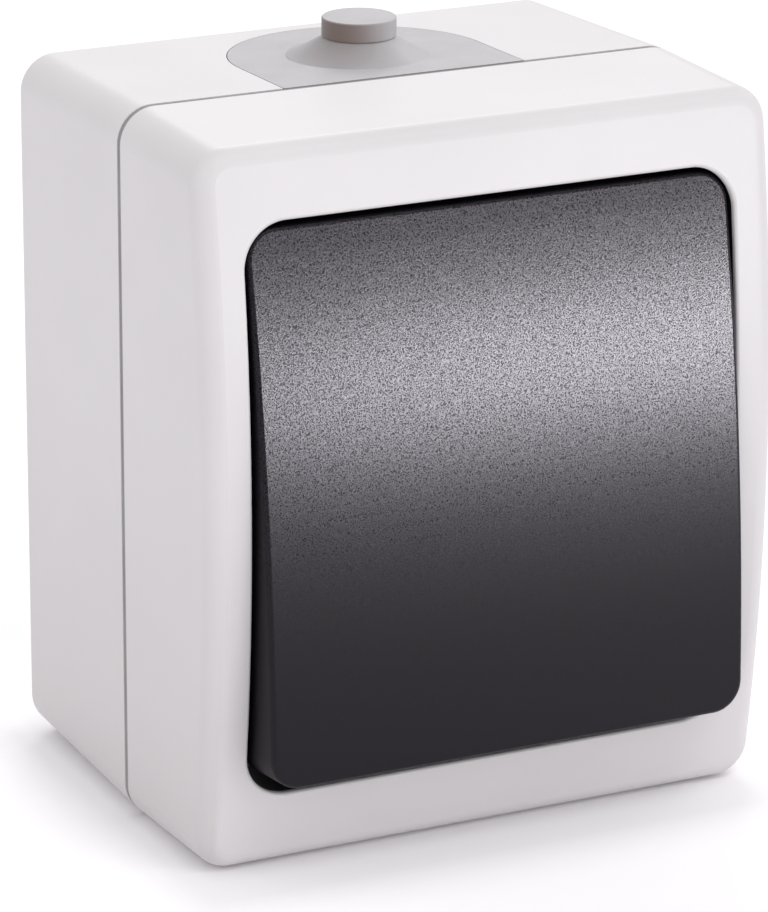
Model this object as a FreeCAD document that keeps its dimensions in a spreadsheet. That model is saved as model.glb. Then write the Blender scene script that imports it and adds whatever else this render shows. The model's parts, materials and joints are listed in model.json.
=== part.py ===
import FreeCAD, Part
import math
import os
import re
import Sketcher

# Weatherproof surface-mounted rocker switch, one gang, changeover contact.
# Millimetres. X points to the right, Y into the wall and Z up. The origin is the middle of the wall face.
# A depth is a distance forward from the wall face, so that a point at depth d has y = -d.
# The rocker and what turns with it are drawn about the pivot, square to the wall, and then tilted to rest.
# There a reach is a distance forward from the pivot.

Vector = FreeCAD.Vector
Rotation = FreeCAD.Rotation
Placement = FreeCAD.Placement

SIZES = {
    # rear box
    "box_width": 63.4,
    "box_height": 75.0,
    "seam_depth": 26.5,
    "seam_corner": 3.7,
    "back_narrowing": 0.6,
    "back_corner": 3.9,
    "back_rounding": 0.6,
    "side_wall": 2.2,
    "back_wall": 2.2,
    "post_radius": 2.9,
    "post_bore": 12.0,
    "wall_hole_radius": 2.3,
    "wall_hole_inset": 9.5,
    # gasket in the seam
    "gasket_thickness": 0.8,
    "gasket_recess": 0.1,
    "gasket_width": 1.4,
    # cable gland in the top wall
    "gland_radius": 13.6,
    "gland_depth": 16.0,
    "gland_gap": 0.1,
    "flange_overlap": 1.5,
    "flange_thickness": 1.5,
    "flange_corner": 3.0,
    "cone_radius": 7.5,
    "cone_rise": 2.1,
    "cone_hollow": 14.0,
    "pip_radius": 3.85,
    "pip_neck": 3.55,
    "pip_rise": 4.0,
    "pip_bevel": 0.1,
    "membrane": 1.1,
    # front cover
    "cover_depth": 44.8,
    "crown_rise": 3.2,
    "cover_taper": 0.4,
    "front_rounding": 2.0,
    "frame_side": 4.6,
    "frame_end": 7.9,
    "opening_corner": 4.7,
    "centre_rise": 0.2,
    "lip": 0.7,
    "lip_rounding": 0.35,
    "web_setback": 8.2,
    "web_thickness": 2.0,
    "core_wall": 2.2,
    "sleeve_radius": 3.1,
    # lining tray
    "lining_wall": 1.1,
    "lining_floor": 1.1,
    "lining_gap": 0.1,
    "lining_slot_inset": 1.3,
    "lining_slot_height": 11.0,
    "lining_rim": 1.0,
    # rocker
    "side_play": 0.45,
    "end_play": 1.45,
    "rocker_corner": 3.2,
    "rocker_crown": 1.4,
    "rocker_reach": 9.0,
    "rocker_skirt": 7.0,
    "rocker_wall": 2.0,
    "rocker_edge": 0.5,
    "rocker_tilt": 6.17,
    "pivot_setback": 5.4,
    "rib_thickness": 1.2,
    "rib_spread": 8.0,
    "rib_setback": 5.9,
    "leg_width": 9.0,
    "leg_thickness": 1.5,
    "leg_rise": 8.2,
    "hook": 0.8,
    # cradle
    "cradle_width": 24.0,
    "cradle_height": 21.6,
    "cradle_plate": 2.4,
    "cradle_reach": 4.0,
    "hub_radius": 2.7,
    "trunnion_radius": 1.8,
    "trunnion_length": 3.2,
    "stem_radius": 3.5,
    "stem_length": 9.0,
    "stem_bore": 2.05,
    "bore_top": 1.0,
    "snap_gap": 0.1,
    # plunger and spring
    "plunger_radius": 2.0,
    "plunger_tip": 1.5,
    "nose_radius": 2.3,
    "plunger_head": 4.8,
    "spigot_radius": 1.0,
    "spigot_length": 1.2,
    "spring_wire": 0.5,
    "spring_radius": 1.6,
    "spring_turns": 4.0,
    "plunger_gap": 0.15,
    # contact blade
    "blade_length": 24.0,
    "blade_width": 8.0,
    "blade_thickness": 0.8,
    "blade_tilt": 4.0,
    "knife_rise": 3.55,
    "knife_entry": 0.3,
    "groove_depth": 0.45,
    "groove_width": 1.2,
    "contact_spread": 10.5,
    "contact_gap": 0.12,
    "tip_radius": 1.5,
    "tip_thickness": 0.8,
    "rivet_radius": 0.8,
    # strips and terminals
    "chamber_floor": 8.0,
    "strip_thickness": 0.8,
    "strip_width": 3.0,
    "knife_width": 7.0,
    "terminal_side_wall": 2.0,
    "terminal_end_wall": 0.9,
    "terminal_width": 6.2,
    "terminal_height": 7.4,
    "terminal_headroom": 3.0,
    "conductor_radius": 1.6,
    # insert
    "bearing_inset": 2.0,
    "insert_height": 38.0,
    "insert_corner": 2.0,
    "insert_depth": 20.0,
    "pivot_rise": 5.4,
    "insert_wall": 1.6,
    "top_plate": 2.0,
    "chamber_side_gap": 1.5,
    "chamber_end_gap": 2.5,
    "pocket_gap": 0.4,
    "ear_rise": 8.0,
    "ear_thickness": 2.5,
    "ear_height": 8.4,
    "ear_gap": 1.0,
    "ear_margin": 3.0,
    "bearing_gap": 0.05,
    "bearing_width": 2.8,
    "bearing_rim": 3.6,
    "side_gap": 0.2,
    # screws
    "cover_screw_inset": 7.0,
    "insert_screw_inset": 3.8,
    "screw_radius": 1.5,
    "screw_bite": 9.0,
    "screw_head_radius": 2.8,
    "screw_head": 1.9,
    "small_screw_radius": 1.0,
    "small_screw_length": 8.0,
    "small_head_radius": 1.7,
    "small_head": 1.2,
    "clamp_screw_radius": 1.3,
    "clamp_head_radius": 2.1,
    "clamp_head": 1.5,
    "thread_gap": 0.05,
    "washer_radius": 3.0,
    "washer_thickness": 0.6,
    "recess_width": 0.7,
    # how far a cut runs past the face where it leaves the solid
    "run_out": 1.0,
}

# Places and sizes that follow from the sizes above. Their names can stand in every expression.
DERIVED = {
    # box and cover
    "cover_rear": "seam_depth + gasket_thickness",
    "cavity_width": "box_width - 2 * side_wall",
    "cavity_height": "box_height - 2 * side_wall",
    "cavity_corner": "seam_corner - side_wall / 2",
    "wall_hole_rise": "box_height / 2 - wall_hole_inset",
    "opening_width": "box_width - 2 * frame_side",
    "opening_height": "box_height - 2 * frame_end",
    "cover_edge": "box_height / 2 - cover_taper",
    "crown_radius": "(cover_edge^2 + crown_rise^2) / (2 * crown_rise)",
    "web_depth": "cover_depth - web_setback",
    "web_rear": "web_depth - web_thickness",
    "floor_front": "web_depth + lining_floor",
    "gland_face": "box_height / 2 - back_narrowing * (1 - gland_depth / seam_depth)",
    "lining_slot_width": "insert_width - 2 * lining_slot_inset",
    # rocker
    "rocker_width": "opening_width - 2 * side_play",
    "rocker_length": "opening_height - 2 * end_play",
    "rocker_radius": "(rocker_length^2 / 4 + rocker_crown^2) / (2 * rocker_crown)",
    "rib_length": "rocker_length - 2 * rib_setback",
    "pivot_depth": "cover_depth - pivot_setback",
    # insert, from its front inwards
    "insert_width": "cradle_width + 2 * (side_gap + bearing_width + bearing_inset)",
    "insert_front": "pivot_depth - pivot_rise",
    "insert_rear": "insert_front - insert_depth",
    "ear_depth": "insert_rear + ear_rise",
    "ear_span": "cavity_width - 2 * ear_gap",
    "chamber_width": "blade_width + 2 * chamber_side_gap",
    "chamber_height": "blade_length + 2 * chamber_end_gap",
    # contacts and terminals
    "strip_floor": "insert_rear + chamber_floor",
    "strip_front": "strip_floor + strip_thickness",
    "knife_depth": "strip_floor + knife_rise",
    "blade_front": "knife_depth - knife_entry + blade_thickness",
    "tip_lift": "(knife_entry + tip_thickness) * cos(blade_tilt * 1 deg)",
    "tip_swing": "tip_lift + (contact_spread + tip_radius) * sin(blade_tilt * 1 deg)",
    "fixed_tip_front": "knife_depth - tip_swing - contact_gap",
    "plunger_reach": "pivot_depth - blade_front - plunger_gap",
    "terminal_front": "insert_front - terminal_headroom",
    "terminal_length": "terminal_front - strip_front",
    "terminal_across": "insert_width / 2 - terminal_side_wall - pocket_gap - terminal_width / 2",
    "terminal_rise": "insert_height / 2 - terminal_end_wall - pocket_gap - terminal_height / 2",
    "conductor_depth": "strip_front + terminal_length / 2",
    # screws
    "cover_screw_across": "opening_width / 2 - cover_screw_inset",
    "cover_screw_rise": "opening_height / 2 - cover_screw_inset",
    "cover_screw_seat": "floor_front + washer_thickness",
    "device_screw_across": "ear_span / 2 - ear_margin",
    "device_screw_seat": "ear_depth + ear_thickness",
    "insert_screw_across": "insert_width / 2 - insert_screw_inset",
    "insert_screw_drop": "bearing_rim + small_head_radius + pocket_gap / 2 + thread_gap",
    "insert_screw_seat": "insert_front + top_plate - small_head",
}

TERMINALS = {
    "common_terminal": ("-terminal_across", "terminal_rise"),
    "upper_terminal": ("terminal_across", "terminal_rise"),
    "lower_terminal": ("terminal_across", "-terminal_rise"),
}
COVER_SCREWS = [
    ("-cover_screw_across", "cover_screw_rise"),
    ("cover_screw_across", "-cover_screw_rise"),
]
DEVICE_SCREWS = [("-device_screw_across", "0"), ("device_screw_across", "0")]
INSERT_SCREWS = [
    ("-insert_screw_across", "-insert_screw_drop"),
    ("insert_screw_across", "-insert_screw_drop"),
]

# Shape of a screw, as shares of its own radius or head
POINT_SHARE = 0.6
HEAD_EDGE_SHARE = 0.45
HEAD_FACE_SHARE = 0.7
RECESS_REACH_SHARE = 0.55
RECESS_DEPTH_SHARE = 0.6

document = FreeCAD.newDocument("weatherproof_switch")
sheet = document.addObject("Spreadsheet::Sheet", "sizes")
for row, (alias, number) in enumerate(SIZES.items(), start=1):
    sheet.set("A%d" % row, str(number))
    sheet.setAlias("A%d" % row, alias)
document.recompute()

WORD = re.compile(r"[A-Za-z_]\w*")
# how far an edge may lie from a computed place and still be the one that is meant
CLOSE = 0.01
NEAR = 0.6
FRONT = "XZ_Plane"
SIDE = "YZ_Plane"
TOP = "XY_Plane"
pieces = []


# Expressions, sketches and features

def on_sheet(text):
    """The expression with each derived name written out and each size's name pointing at its cell."""
    def stand_in(word):
        name = word.group()
        if name in DERIVED:
            return "(%s)" % on_sheet(DERIVED[name])
        return "sizes." + name if name in SIZES else name

    return WORD.sub(stand_in, text)


def value(text):
    return float(sheet.evalExpression(on_sheet(text)))


def bind(thing, name, text):
    thing.setExpression(name, on_sheet(text))


def new_body(label):
    body = document.addObject("PartDesign::Body", label)
    body.Label = label
    pieces.append(body)
    return body


def new_sketch(body, name, plane, offset="0", across="0", up="0"):
    """A sketch at an offset along the plane's normal, its own origin moved across and up in the plane."""
    sketch = body.newObject("Sketcher::SketchObject", name)
    base_plane = next(item for item in body.Origin.OriginFeatures if item.Role == plane)
    sketch.AttachmentSupport = [(base_plane, "")]
    sketch.MapMode = "FlatFace"
    bind(sketch, "AttachmentOffset.Base.x", across)
    bind(sketch, "AttachmentOffset.Base.y", up)
    bind(sketch, "AttachmentOffset.Base.z", offset)
    return sketch


def size(sketch, kind, geometry, text):
    index = sketch.addConstraint(Sketcher.Constraint(kind, geometry, value(text)))
    bind(sketch, "Constraints[%d]" % index, text)


def pin(sketch, geometry, point, across, up):
    """Holds a point at its place from the sketch's origin."""
    for kind, text, axis in (("DistanceX", across, -2), ("DistanceY", up, -1)):
        if text == "0":
            sketch.addConstraint(Sketcher.Constraint("PointOnObject", geometry, point, axis))
            continue
        place = value(text)
        if place < 0:
            rule = Sketcher.Constraint(kind, geometry, point, -1, 1, -place)
            text = "-(%s)" % text
        else:
            rule = Sketcher.Constraint(kind, -1, 1, geometry, point, place)
        index = sketch.addConstraint(rule)
        bind(sketch, "Constraints[%d]" % index, text)


def circle(sketch, radius, across="0", up="0"):
    centre = Vector(value(across), value(up), 0)
    index = sketch.addGeometry(Part.Circle(centre, Vector(0, 0, 1), value(radius)))
    pin(sketch, index, 3, across, up)
    size(sketch, "Radius", index, radius)


def arc_between(begin, finish, radius, turn):
    """The short arc from one point to another, which bends left for turn 1 and right for turn -1."""
    chord = finish - begin
    half = chord.Length / 2
    rise = (radius * radius - half * half) ** 0.5
    left = Vector(-chord.y, chord.x, 0).normalize()
    centre = (begin + finish) * 0.5 + left * (rise * turn)
    first, last = (begin, finish) if turn > 0 else (finish, begin)
    start = (first - centre).getAngle(Vector(1, 0, 0))
    if first.y < centre.y:
        start = -start
    sweep = (first - centre).getAngle(last - centre)
    return Part.ArcOfCircle(Part.Circle(centre, Vector(0, 0, 1), radius), start, start + sweep)


def outline(sketch, corners):
    """A closed outline. Each corner ends a straight edge, or with a radius and a turn an arc."""
    points = [Vector(value(corner[0]), value(corner[1]), 0) for corner in corners]
    edges = []
    for index, corner in enumerate(corners):
        if len(corner) == 2:
            edges.append(Part.LineSegment(points[index - 1], points[index]))
        else:
            edges.append(arc_between(points[index - 1], points[index], value(corner[2]), corner[3]))
    first = sketch.addGeometry(edges)[0]
    heads = [1 if len(corner) == 2 or corner[3] > 0 else 2 for corner in corners]
    for index, corner in enumerate(corners):
        after = (index + 1) % len(corners)
        tail = 3 - heads[index]
        joint = Sketcher.Constraint("Coincident", first + index, tail, first + after, heads[after])
        sketch.addConstraint(joint)
        pin(sketch, first + index, tail, corner[0], corner[1])
        if len(corner) == 4:
            size(sketch, "Radius", first + index, corner[2])


def rectangle(sketch, left, right, low, high):
    outline(sketch, [(left, low), (right, low), (right, high), (left, high)])


def rounded_rectangle(sketch, width, height, radius):
    """A rectangle about the sketch's origin, with one radius at its four corners."""
    half_width = value(width) / 2
    half_height = value(height) / 2
    bend = value(radius)
    inner_width = half_width - bend
    inner_height = half_height - bend
    up = Vector(0, 0, 1)
    lines = [
        Part.LineSegment(Vector(-inner_width, -half_height, 0), Vector(inner_width, -half_height, 0)),
        Part.LineSegment(Vector(half_width, -inner_height, 0), Vector(half_width, inner_height, 0)),
        Part.LineSegment(Vector(inner_width, half_height, 0), Vector(-inner_width, half_height, 0)),
        Part.LineSegment(Vector(-half_width, inner_height, 0), Vector(-half_width, -inner_height, 0)),
    ]
    first = sketch.addGeometry(lines)[0]
    quarter = math.pi / 2
    centres = [(1, -1), (1, 1), (-1, 1), (-1, -1)]
    for index, (across, rise) in enumerate(centres):
        centre = Vector(across * inner_width, rise * inner_height, 0)
        start = quarter * (index - 1)
        sketch.addGeometry(Part.ArcOfCircle(Part.Circle(centre, up, bend), start, start + quarter))
    for index in range(4):
        arc = first + 4 + index
        after = first + (index + 1) % 4
        sketch.addConstraint(Sketcher.Constraint("Tangent", first + index, 2, arc, 1))
        sketch.addConstraint(Sketcher.Constraint("Tangent", arc, 2, after, 1))
        level = "Horizontal" if index % 2 == 0 else "Vertical"
        sketch.addConstraint(Sketcher.Constraint(level, first + index))
    for index in range(1, 4):
        sketch.addConstraint(Sketcher.Constraint("Equal", first + 4, first + 4 + index))
    size(sketch, "Radius", first + 4, radius)
    sides = [
        ("DistanceX", -1, 1, first + 1, 1, width),
        ("DistanceX", first + 3, 1, -1, 1, width),
        ("DistanceY", -1, 1, first + 2, 1, height),
        ("DistanceY", first, 1, -1, 1, height),
    ]
    for kind, one, one_point, two, two_point, span in sides:
        rule = Sketcher.Constraint(kind, one, one_point, two, two_point, value(span) / 2)
        index = sketch.addConstraint(rule)
        bind(sketch, "Constraints[%d]" % index, "(%s) / 2" % span)


def pad(body, sketch, length, symmetric=False, reverse=False):
    feature = body.newObject("PartDesign::Pad", sketch.Name + "_pad")
    feature.Profile = sketch
    feature.SideType = "Symmetric" if symmetric else "One side"
    feature.Reversed = reverse
    bind(feature, "Length", length)
    return feature


def pocket(body, sketch, length=None, symmetric=False, reverse=False):
    """A cut against the sketch's normal, along it when reversed. With no length it goes right through."""
    feature = body.newObject("PartDesign::Pocket", sketch.Name + "_cut")
    feature.Profile = sketch
    feature.SideType = "Symmetric" if symmetric else "One side"
    feature.Reversed = reverse
    if length is None:
        feature.Type = "ThroughAll"
    else:
        bind(feature, "Length", length)
    return feature


def revolve(body, sketch, axis, cut=False):
    kind = "PartDesign::Groove" if cut else "PartDesign::Revolution"
    feature = body.newObject(kind, sketch.Name + "_turned")
    feature.Profile = sketch
    feature.ReferenceAxis = (sketch, [axis])
    feature.Angle = 360
    return feature


def fillet(body, name, radius, chosen):
    """Rounds the edges of the solid so far for which chosen(edge) is true."""
    document.recompute()
    base = body.Tip
    edges = []
    for index, edge in enumerate(base.Shape.Edges, start=1):
        if chosen(edge):
            edges.append("Edge%d" % index)
    feature = body.newObject("PartDesign::Fillet", name)
    feature.Base = (base, edges)
    bind(feature, "Radius", radius)
    return feature


def runs_along_y(edge, across, rise):
    """True for a long edge along Y whose middle lies near one of the four places (+-across, +-rise)."""
    box = edge.BoundBox
    beside = abs(abs(box.Center.x) - across) < NEAR and abs(abs(box.Center.z) - rise) < NEAR
    return beside and box.XLength < NEAR and box.YLength > 2 * NEAR


def is_within(edge, across, rise):
    """True for an edge whose middle lies inside the rectangle that reaches to (+-across, +-rise)."""
    middle = edge.BoundBox.Center
    return abs(middle.x) < across and abs(middle.z) < rise


def carry_by_pivot(body):
    """Moves a body that is drawn about the pivot to its place, tilted to rest with its top pressed in."""
    body.Placement = Placement(Vector(), Rotation(Vector(-1, 0, 0), 1))
    bind(body, "Placement.Base.y", "-pivot_depth")
    bind(body, "Placement.Base.z", "centre_rise")
    bind(body, "Placement.Rotation.Angle", "rocker_tilt")


def carry_by_centre(body):
    """Raises a body that is drawn about the middle of the opening."""
    bind(body, "Placement.Base.z", "centre_rise")


# Housing

def make_rear_box():
    body = new_body("rear_box")
    back = new_sketch(body, "box_back", FRONT)
    rounded_rectangle(
        back, "box_width - 2 * back_narrowing", "box_height - 2 * back_narrowing", "back_corner"
    )
    rim = new_sketch(body, "box_rim", FRONT, "seam_depth")
    rounded_rectangle(rim, "box_width", "box_height", "seam_corner")
    block = body.newObject("PartDesign::AdditiveLoft", "box_block")
    block.Profile = back
    block.Sections = [rim]
    block.Ruled = True
    fillet(body, "box_back_edge", "back_rounding", lambda edge: edge.BoundBox.YMin > -CLOSE)

    cavity = new_sketch(body, "box_cavity", FRONT, "seam_depth")
    rounded_rectangle(cavity, "cavity_width", "cavity_height", "cavity_corner")
    pocket(body, cavity, "seam_depth - back_wall")

    # posts for the cover screws reach the rim, those for the insert end below its ears
    posts = [("cover", COVER_SCREWS, "seam_depth"), ("device", DEVICE_SCREWS, "ear_depth")]
    for name, places, top in posts:
        foot = new_sketch(body, "box_%s_posts" % name, FRONT, "back_wall", up="centre_rise")
        bore = new_sketch(body, "box_%s_bores" % name, FRONT, top, up="centre_rise")
        for across, up in places:
            circle(foot, "post_radius", across, up)
            circle(bore, "screw_radius + thread_gap", across, up)
        pad(body, foot, top + " - back_wall")
        pocket(body, bore, "post_bore")

    holes = new_sketch(body, "box_wall_holes", FRONT)
    for rise in ("wall_hole_rise", "-wall_hole_rise"):
        circle(holes, "wall_hole_radius", "0", rise)
    pocket(body, holes, "back_wall + run_out", reverse=True)

    notch = new_sketch(body, "box_gland_notch", TOP, "box_height / 2")
    gland_outline(notch, "gland_radius", "seam_depth + run_out")
    pocket(body, notch, "side_wall + run_out")


def gland_outline(sketch, radius, front_depth):
    """Straight sides from the seam, closed by a half circle towards the wall."""
    left = "-(%s)" % radius
    centre = "-gland_depth"
    front = "-(%s)" % front_depth
    crest = "-gland_depth + (%s)" % radius
    corners = [
        (left, front),
        (radius, front),
        (radius, centre),
        ("0", crest, radius, 1),
        (left, centre, radius, 1),
    ]
    outline(sketch, corners)


def make_box_gasket():
    body = new_body("box_gasket")
    ring = new_sketch(body, "gasket_ring", FRONT, "seam_depth")
    for inset in ("gasket_recess", "gasket_recess + gasket_width"):
        rounded_rectangle(
            ring,
            "box_width - 2 * (%s)" % inset,
            "box_height - 2 * (%s)" % inset,
            "seam_corner - (%s)" % inset,
        )
    pad(body, ring, "gasket_thickness")


def make_cable_gland():
    body = new_body("cable_gland")
    plate = new_sketch(body, "gland_plate", TOP, "cavity_height / 2")
    gland_outline(plate, "gland_radius - gland_gap", "seam_depth")
    pad(body, plate, "side_wall + run_out")
    # the plate's face continues the tapered top of the box
    slope = new_sketch(body, "gland_slope", SIDE)
    back_top = "box_height / 2 - back_narrowing"
    far = "seam_depth + run_out"
    far_top = "box_height / 2 + back_narrowing * run_out / seam_depth"
    above = "box_height / 2 + 2 * run_out"
    outline(slope, [("-(%s)" % far, far_top), ("0", back_top), ("0", above), ("-(%s)" % far, above)])
    pocket(body, slope, symmetric=True)

    flange = new_sketch(body, "gland_flange", TOP, "cavity_height / 2", up="-(back_wall + seam_depth) / 2")
    rounded_rectangle(
        flange,
        "2 * (gland_radius + flange_overlap)",
        "seam_depth - back_wall - 2 * gland_gap",
        "flange_corner",
    )
    pad(body, flange, "flange_thickness", reverse=True)

    # hollow cone with the pip that is cut off for the cable
    cone = new_sketch(body, "gland_cone", SIDE, across="-gland_depth")
    corners = [
        ("0", "gland_face - back_narrowing"),
        ("cone_radius", "gland_face - back_narrowing"),
        ("cone_radius", "gland_face"),
        ("pip_neck", "gland_face + cone_rise", "cone_hollow", -1),
        ("pip_radius", "gland_face + cone_rise"),
        ("pip_radius", "gland_face + pip_rise - pip_bevel"),
        ("pip_radius - pip_bevel", "gland_face + pip_rise"),
        ("0", "gland_face + pip_rise"),
    ]
    outline(cone, corners)
    revolve(body, cone, "V_Axis")
    funnel = new_sketch(body, "gland_funnel", SIDE, across="-gland_depth")
    floor = "cavity_height / 2 - flange_thickness - run_out"
    corners = [
        ("0", floor),
        ("cone_radius - membrane", floor),
        ("cone_radius - membrane", "gland_face - membrane"),
        ("pip_neck - membrane", "gland_face + cone_rise - membrane"),
        ("pip_neck - membrane", "gland_face + pip_rise - membrane"),
        ("0", "gland_face + pip_rise - membrane"),
    ]
    outline(funnel, corners)
    revolve(body, funnel, "V_Axis", cut=True)


def make_front_cover():
    body = new_body("front_cover")
    block = new_sketch(body, "cover_side", SIDE)
    corners = [
        ("-cover_rear", "-box_height / 2"),
        ("-cover_depth", "-cover_edge"),
        ("-cover_depth", "cover_edge", "crown_radius", -1),
        ("-cover_rear", "box_height / 2"),
    ]
    outline(block, corners)
    pad(body, block, "box_width", symmetric=True)
    half_width = value("box_width / 2")
    half_height = value("box_height / 2")
    corner = lambda edge: runs_along_y(edge, half_width, half_height)
    fillet(body, "cover_corners", "seam_corner", corner)
    fillet(body, "cover_front_edge", "front_rounding", on_crown)

    # the rebate behind the lip takes the lining tray
    rebate = new_sketch(body, "cover_rebate", SIDE, up="centre_rise")
    lining_space(rebate, "web_depth", "0")
    pocket(body, rebate, "opening_width + 2 * lining_wall", symmetric=True)
    across = value("opening_width / 2 + lining_wall")
    rise = value("opening_height / 2 + lining_wall")
    rebate_corner = lambda edge: runs_along_y(edge, across, rise)
    fillet(body, "cover_rebate_corners", "opening_corner + lining_wall", rebate_corner)
    opening = new_sketch(body, "cover_opening", FRONT, "web_depth", up="centre_rise")
    rounded_rectangle(opening, "opening_width", "opening_height", "opening_corner")
    pocket(body, opening, reverse=True)
    lip_across = value("opening_width / 2 + lip_rounding")
    lip_rise = value("opening_height / 2 + centre_rise + lip_rounding")
    lip = lambda edge: on_crown(edge) and is_within(edge, lip_across, lip_rise)
    fillet(body, "cover_lip", "lip_rounding", lip)

    # open rear, with the web that carries the lining, and cored strips above and below the opening
    cavity = new_sketch(body, "cover_cavity", FRONT, "cover_rear")
    rounded_rectangle(cavity, "cavity_width", "cavity_height", "cavity_corner")
    pocket(body, cavity, "web_rear - cover_rear", reverse=True)
    inner = "opening_height / 2 + lining_wall + lining_wall"
    cores = new_sketch(body, "cover_cores", FRONT, "web_rear")
    outer = "box_height / 2 - side_wall - cover_taper"
    half = "opening_width / 2"
    rectangle(cores, "-(%s)" % half, half, "(%s) + centre_rise" % inner, outer)
    rectangle(cores, "-(%s)" % half, half, "-(%s)" % outer, "centre_rise - (%s)" % inner)
    pocket(body, cores, "cover_depth - core_wall - web_rear", reverse=True)
    window = new_sketch(body, "cover_window", FRONT, "web_rear", up="centre_rise")
    rounded_rectangle(
        window,
        "insert_width + 4 * pocket_gap",
        "insert_height + 4 * pocket_gap",
        "insert_corner + pocket_gap",
    )
    pocket(body, window, "web_thickness", reverse=True)
    sleeves = new_sketch(body, "cover_sleeves", FRONT, "cover_rear", up="centre_rise")
    bores = new_sketch(body, "cover_sleeve_bores", FRONT, "cover_rear", up="centre_rise")
    for across, up in COVER_SCREWS:
        circle(sleeves, "sleeve_radius", across, up)
        circle(bores, "screw_radius + pocket_gap", across, up)
    pad(body, sleeves, "web_rear - cover_rear")
    pocket(body, bores, "web_depth - cover_rear", reverse=True)


def on_crown(edge):
    """True for an edge whose ends lie on the cover's crowned front."""
    radius = value("crown_radius")
    centre = radius - value("cover_depth + crown_rise")
    for vertex in edge.Vertexes:
        if abs(math.hypot(vertex.Point.y - centre, vertex.Point.z) - radius) > CLOSE:
            return False
    return True


def lining_space(sketch, rear, gap):
    """The side view of the space between the web and the lip, about the middle of the opening."""
    inset = "lip + (%s)" % gap
    radius = "crown_radius - (%s)" % inset
    half = "opening_height / 2 + lining_wall - (%s)" % gap
    crest = "cover_depth + crown_rise - (%s)" % inset
    edges = []
    for sign in ("-", ""):
        from_crest = "(%s) - sqrt((%s)^2 - (%s(%s) + centre_rise)^2)" % (radius, radius, sign, half)
        edges.append(("-((%s) - (%s))" % (crest, from_crest), "%s(%s)" % (sign, half)))
    back = "-(%s)" % rear
    corners = [
        (back, "-(%s)" % half),
        edges[0],
        (edges[1][0], half, radius, -1),
        (back, half),
    ]
    outline(sketch, corners)


def make_rocker_lining():
    body = new_body("rocker_seal")
    carry_by_centre(body)
    block = new_sketch(body, "lining_side", SIDE)
    lining_space(block, "web_depth", "lining_gap")
    pad(body, block, "opening_width + 2 * (lining_wall - lining_gap)", symmetric=True)
    across = value("opening_width / 2 + lining_wall - lining_gap")
    rise = value("opening_height / 2 + lining_wall - lining_gap")
    corner = lambda edge: runs_along_y(edge, across, rise)
    fillet(body, "lining_corners", "opening_corner + lining_wall - lining_gap", corner)
    tray = new_sketch(body, "lining_tray", FRONT, "floor_front")
    rounded_rectangle(tray, "opening_width", "opening_height", "opening_corner")
    pocket(body, tray, reverse=True)
    # a slot for the bearing ears and the cradle's stem, with a rim that keeps water back
    rim = new_sketch(body, "lining_rim", FRONT, "floor_front")
    rounded_rectangle(
        rim,
        "lining_slot_width + 2 * lining_wall",
        "lining_slot_height + 2 * lining_wall",
        "insert_corner + lining_wall",
    )
    pad(body, rim, "lining_rim")
    slot = new_sketch(body, "lining_slot", FRONT, "web_depth - run_out")
    rounded_rectangle(slot, "lining_slot_width", "lining_slot_height", "insert_corner")
    pocket(body, slot, reverse=True)
    holes = new_sketch(body, "lining_screw_holes", FRONT, "web_depth - run_out")
    for across, up in COVER_SCREWS:
        circle(holes, "screw_radius + pocket_gap", across, up)
    pocket(body, holes, reverse=True)


# Rocker and cradle, drawn about the pivot

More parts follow.
